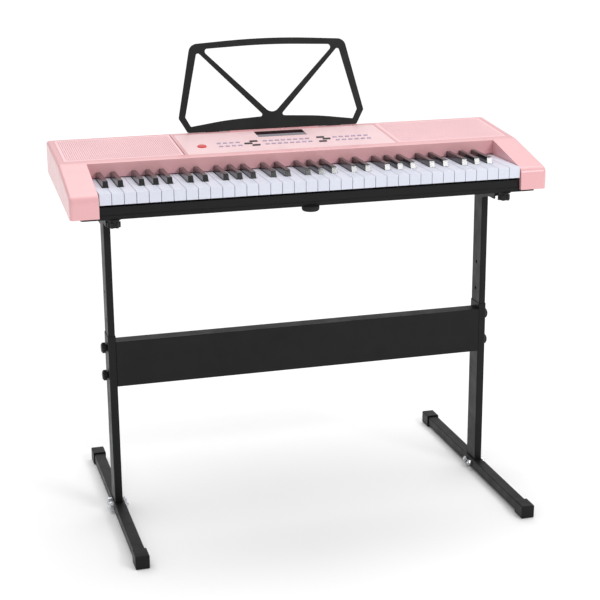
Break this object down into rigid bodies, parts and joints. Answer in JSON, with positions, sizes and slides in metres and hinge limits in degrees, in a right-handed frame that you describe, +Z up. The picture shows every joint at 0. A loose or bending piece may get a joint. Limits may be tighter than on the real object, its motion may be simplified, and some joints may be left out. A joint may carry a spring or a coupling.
{
  "type": "toy electronic keyboard",
  "caption": "Pink toy electronic keyboard with full-width white and black keys, a leaning music rest, and a black H-shaped stand with a height slide and clamp knobs.",
  "frame": {"origin": "on the floor, midway between the two feet, at the middle of the feet's length", "axes": "+X along the keys from bass to treble, +Y from the player to the back, +Z up"},
  "size_m": [0.938, 0.56, 0.9055],
  "materials": {
    "black_powder_coated_steel": "satin powder coat",
    "matte_black_plastic": "fine moulded texture",
    "battery_door_plastic": "fine moulded texture",
    "charcoal_plastic": "matte",
    "pink_plastic": "semi-gloss",
    "grille_plastic": "matte",
    "panel_plastic": "satin",
    "white_key_plastic": "gloss",
    "black_key_plastic": "semi-gloss",
    "zinc_plated_steel": "zinc plated",
    "rubber": "matte",
    "felt": "felt",
    "circuit_board": "solder mask",
    "dark_lens": "gloss",
    "display_glass": "gloss",
    "speaker_paper": "paper cone in a steel basket",
    "key_bed_plastic": "matte",
    "jack_plastic": "matte",
    "grey_button_plastic": "matte",
    "dark_button_plastic": "matte",
    "red_button_plastic": "gloss"
  },
  "bodies": {
    "stand_base": {"foot_tube_left": "black_powder_coated_steel", "foot_tube_right": "black_powder_coated_steel", "foot_end_caps": "matte_black_plastic", "lower_upright_left": "black_powder_coated_steel", "lower_upright_right": "black_powder_coated_steel", "apron_panel": "black_powder_coated_steel", "apron_screws": "zinc_plated_steel", "foot_bolts": "zinc_plated_steel", "foot_nuts": "zinc_plated_steel"},
    "upper_frame": {"upper_upright_left": "black_powder_coated_steel", "upper_upright_right": "black_powder_coated_steel", "support_arm_left": "black_powder_coated_steel", "support_arm_right": "black_powder_coated_steel", "top_case": "pink_plastic", "bottom_case": "matte_black_plastic", "case_screws": "zinc_plated_steel", "rubber_feet": "rubber", "rear_jacks": "jack_plastic", "control_panel": "panel_plastic", "speaker_grilles": "grille_plastic", "speakers": "speaker_paper", "display_lens": "dark_lens", "display_module": "display_glass", "main_board": "circuit_board", "key_bed": "key_bed_plastic", "key_contact_board": "circuit_board", "contact_rubber": "rubber", "key_stop_felt": "felt"},
    "height_knob_left_lower": {"height_knob_left_lower": "matte_black_plastic"},
    "height_knob_left_upper": {"height_knob_left_upper": "matte_black_plastic"},
    "height_knob_right_lower": {"height_knob_right_lower": "matte_black_plastic"},
    "height_knob_right_upper": {"height_knob_right_upper": "matte_black_plastic"},
    "arm_knob_left": {"arm_knob_left": "matte_black_plastic"},
    "arm_knob_right": {"arm_knob_right": "matte_black_plastic"},
    "white_key_c": {"white_key_c": "white_key_plastic"},
    "white_key_d": {"white_key_d": "white_key_plastic"},
    "white_key_e": {"white_key_e": "white_key_plastic"},
    "white_key_f": {"white_key_f": "white_key_plastic"},
    "white_key_g": {"white_key_g": "white_key_plastic"},
    "white_key_a": {"white_key_a": "white_key_plastic"},
    "white_key_b": {"white_key_b": "white_key_plastic"},
    "black_key_c_sharp": {"black_key_c_sharp": "black_key_plastic"},
    "black_key_d_sharp": {"black_key_d_sharp": "black_key_plastic"},
    "black_key_f_sharp": {"black_key_f_sharp": "black_key_plastic"},
    "black_key_g_sharp": {"black_key_g_sharp": "black_key_plastic"},
    "black_key_a_sharp": {"black_key_a_sharp": "black_key_plastic"},
    "white_keys_octave_1": {"white_keys_octave_1": "white_key_plastic"},
    "white_keys_octave_2": {"white_keys_octave_2": "white_key_plastic"},
    "white_keys_octave_4": {"white_keys_octave_4": "white_key_plastic"},
    "white_keys_octave_5": {"white_keys_octave_5": "white_key_plastic"},
    "black_keys_octave_1": {"black_keys_octave_1": "black_key_plastic"},
    "black_keys_octave_2": {"black_keys_octave_2": "black_key_plastic"},
    "black_keys_octave_4": {"black_keys_octave_4": "black_key_plastic"},
    "black_keys_octave_5": {"black_keys_octave_5": "black_key_plastic"},
    "panel_buttons": {"panel_buttons": "grey_button_plastic"},
    "tempo_buttons": {"tempo_buttons": "dark_button_plastic"},
    "volume_buttons": {"volume_buttons": "dark_button_plastic"},
    "power_button": {"power_button": "red_button_plastic"},
    "battery_door": {"battery_door": "battery_door_plastic"},
    "music_rest": {"music_rest": "charcoal_plastic"}
  },
  "joints": [
    {"name": "height_slide", "type": "slide", "parent": "stand_base", "child": "upper_frame", "axis": [0, 0, 1], "range_m": [-0.113, 0.0565]},
    {"name": "height_knob_left_lower_turn", "type": "hinge", "parent": "stand_base", "child": "height_knob_left_lower", "pos_m": [-0.4, 0.002, 0.287], "axis": [-1, 0, 0], "range_deg": [0, 720]},
    {"name": "height_knob_left_upper_turn", "type": "hinge", "parent": "stand_base", "child": "height_knob_left_upper", "pos_m": [-0.4, 0.002, 0.3435], "axis": [-1, 0, 0], "range_deg": [0, 720]},
    {"name": "height_knob_right_lower_turn", "type": "hinge", "parent": "stand_base", "child": "height_knob_right_lower", "pos_m": [0.4, 0.002, 0.287], "axis": [1, 0, 0], "range_deg": [0, 720]},
    {"name": "height_knob_right_upper_turn", "type": "hinge", "parent": "stand_base", "child": "height_knob_right_upper", "pos_m": [0.4, 0.002, 0.3435], "axis": [1, 0, 0], "range_deg": [0, 720]},
    {"name": "arm_knob_left_turn", "type": "hinge", "parent": "upper_frame", "child": "arm_knob_left", "pos_m": [-0.387, -0.111, 0.6107], "axis": [0, 0, 1], "range_deg": [0, 720]},
    {"name": "arm_knob_right_turn", "type": "hinge", "parent": "upper_frame", "child": "arm_knob_right", "pos_m": [0.387, -0.111, 0.6107], "axis": [0, 0, 1], "range_deg": [0, 720]},
    {"name": "white_key_c_press", "type": "hinge", "parent": "upper_frame", "child": "white_key_c", "pos_m": [0, 0.038, 0.664], "axis": [1, 0, 0], "range_deg": [0, 3.2], "stiffness_Nm_per_rad": 0.93, "springref_deg": -2.86},
    {"name": "white_key_d_press", "type": "hinge", "parent": "upper_frame", "child": "white_key_d", "pos_m": [0, 0.038, 0.664], "axis": [1, 0, 0], "range_deg": [0, 3.2], "stiffness_Nm_per_rad": 0.93, "springref_deg": -2.86},
    {"name": "white_key_e_press", "type": "hinge", "parent": "upper_frame", "child": "white_key_e", "pos_m": [0, 0.038, 0.664], "axis": [1, 0, 0], "range_deg": [0, 3.2], "stiffness_Nm_per_rad": 0.93, "springref_deg": -2.86},
    {"name": "white_key_f_press", "type": "hinge", "parent": "upper_frame", "child": "white_key_f", "pos_m": [0, 0.038, 0.664], "axis": [1, 0, 0], "range_deg": [0, 3.2], "stiffness_Nm_per_rad": 0.93, "springref_deg": -2.86},
    {"name": "white_key_g_press", "type": "hinge", "parent": "upper_frame", "child": "white_key_g", "pos_m": [0, 0.038, 0.664], "axis": [1, 0, 0], "range_deg": [0, 3.2], "stiffness_Nm_per_rad": 0.93, "springref_deg": -2.86},
    {"name": "white_key_a_press", "type": "hinge", "parent": "upper_frame", "child": "white_key_a", "pos_m": [0, 0.038, 0.664], "axis": [1, 0, 0], "range_deg": [0, 3.2], "stiffness_Nm_per_rad": 0.93, "springref_deg": -2.86},
    {"name": "white_key_b_press", "type": "hinge", "parent": "upper_frame", "child": "white_key_b", "pos_m": [0, 0.038, 0.664], "axis": [1, 0, 0], "range_deg": [0, 3.2], "stiffness_Nm_per_rad": 0.93, "springref_deg": -2.86},
    {"name": "black_key_c_sharp_press", "type": "hinge", "parent": "upper_frame", "child": "black_key_c_sharp", "pos_m": [0, 0.038, 0.664], "axis": [1, 0, 0], "range_deg": [0, 3.2], "stiffness_Nm_per_rad": 0.93, "springref_deg": -2.86},
    {"name": "black_key_d_sharp_press", "type": "hinge", "parent": "upper_frame", "child": "black_key_d_sharp", "pos_m": [0, 0.038, 0.664], "axis": [1, 0, 0], "range_deg": [0, 3.2], "stiffness_Nm_per_rad": 0.93, "springref_deg": -2.86},
    {"name": "black_key_f_sharp_press", "type": "hinge", "parent": "upper_frame", "child": "black_key_f_sharp", "pos_m": [0, 0.038, 0.664], "axis": [1, 0, 0], "range_deg": [0, 3.2], "stiffness_Nm_per_rad": 0.93, "springref_deg": -2.86},
    {"name": "black_key_g_sharp_press", "type": "hinge", "parent": "upper_frame", "child": "black_key_g_sharp", "pos_m": [0, 0.038, 0.664], "axis": [1, 0, 0], "range_deg": [0, 3.2], "stiffness_Nm_per_rad": 0.93, "springref_deg": -2.86},
    {"name": "black_key_a_sharp_press", "type": "hinge", "parent": "upper_frame", "child": "black_key_a_sharp", "pos_m": [0, 0.038, 0.664], "axis": [1, 0, 0], "range_deg": [0, 3.2], "stiffness_Nm_per_rad": 0.93, "springref_deg": -2.86},
    {"name": "white_keys_octave_1_press", "type": "hinge", "parent": "upper_frame", "child": "white_keys_octave_1", "pos_m": [0, 0.038, 0.664], "axis": [1, 0, 0], "range_deg": [0, 3.2], "stiffness_Nm_per_rad": 6.51, "springref_deg": -2.86},
    {"name": "white_keys_octave_2_press", "type": "hinge", "parent": "upper_frame", "child": "white_keys_octave_2", "pos_m": [0, 0.038, 0.664], "axis": [1, 0, 0], "range_deg": [0, 3.2], "stiffness_Nm_per_rad": 6.51, "springref_deg": -2.86},
    {"name": "white_keys_octave_4_press", "type": "hinge", "parent": "upper_frame", "child": "white_keys_octave_4", "pos_m": [0, 0.038, 0.664], "axis": [1, 0, 0], "range_deg": [0, 3.2], "stiffness_Nm_per_rad": 6.51, "springref_deg": -2.86},
    {"name": "white_keys_octave_5_press", "type": "hinge", "parent": "upper_frame", "child": "white_keys_octave_5", "pos_m": [0, 0.038, 0.664], "axis": [1, 0, 0], "range_deg": [0, 3.2], "stiffness_Nm_per_rad": 7.44, "springref_deg": -2.86},
    {"name": "black_keys_octave_1_press", "type": "hinge", "parent": "upper_frame", "child": "black_keys_octave_1", "pos_m": [0, 0.038, 0.664], "axis": [1, 0, 0], "range_deg": [0, 3.2], "stiffness_Nm_per_rad": 4.65, "springref_deg": -2.86},
    {"name": "black_keys_octave_2_press", "type": "hinge", "parent": "upper_frame", "child": "black_keys_octave_2", "pos_m": [0, 0.038, 0.664], "axis": [1, 0, 0], "range_deg": [0, 3.2], "stiffness_Nm_per_rad": 4.65, "springref_deg": -2.86},
    {"name": "black_keys_octave_4_press", "type": "hinge", "parent": "upper_frame", "child": "black_keys_octave_4", "pos_m": [0, 0.038, 0.664], "axis": [1, 0, 0], "range_deg": [0, 3.2], "stiffness_Nm_per_rad": 4.65, "springref_deg": -2.86},
    {"name": "black_keys_octave_5_press", "type": "hinge", "parent": "upper_frame", "child": "black_keys_octave_5", "pos_m": [0, 0.038, 0.664], "axis": [1, 0, 0], "range_deg": [0, 3.2], "stiffness_Nm_per_rad": 4.65, "springref_deg": -2.86},
    {"name": "panel_buttons_press", "type": "slide", "parent": "upper_frame", "child": "panel_buttons", "axis": [0, 0.0875, -0.9962], "range_m": [0, 0.0012], "stiffness_N_per_m": 21600, "springref_m": -0.0005},
    {"name": "tempo_buttons_press", "type": "slide", "parent": "upper_frame", "child": "tempo_buttons", "axis": [0, 0.0875, -0.9962], "range_m": [0, 0.0012], "stiffness_N_per_m": 1800, "springref_m": -0.0005},
    {"name": "volume_buttons_press", "type": "slide", "parent": "upper_frame", "child": "volume_buttons", "axis": [0, 0.0875, -0.9962], "range_m": [0, 0.0012], "stiffness_N_per_m": 1800, "springref_m": -0.0005},
    {"name": "power_button_press", "type": "slide", "parent": "upper_frame", "child": "power_button", "axis": [0, 0.0875, -0.9962], "range_m": [0, 0.0015], "stiffness_N_per_m": 600, "springref_m": -0.0005},
    {"name": "battery_door_hinge", "type": "hinge", "parent": "upper_frame", "child": "battery_door", "pos_m": [0, 0.1485, 0.628], "axis": [1, 0, 0], "range_deg": [0, 95]},
    {"name": "music_rest_lift", "type": "slide", "parent": "upper_frame", "child": "music_rest", "axis": [0, 0.213, 0.977], "range_m": [0, 0.06]}
  ]
}
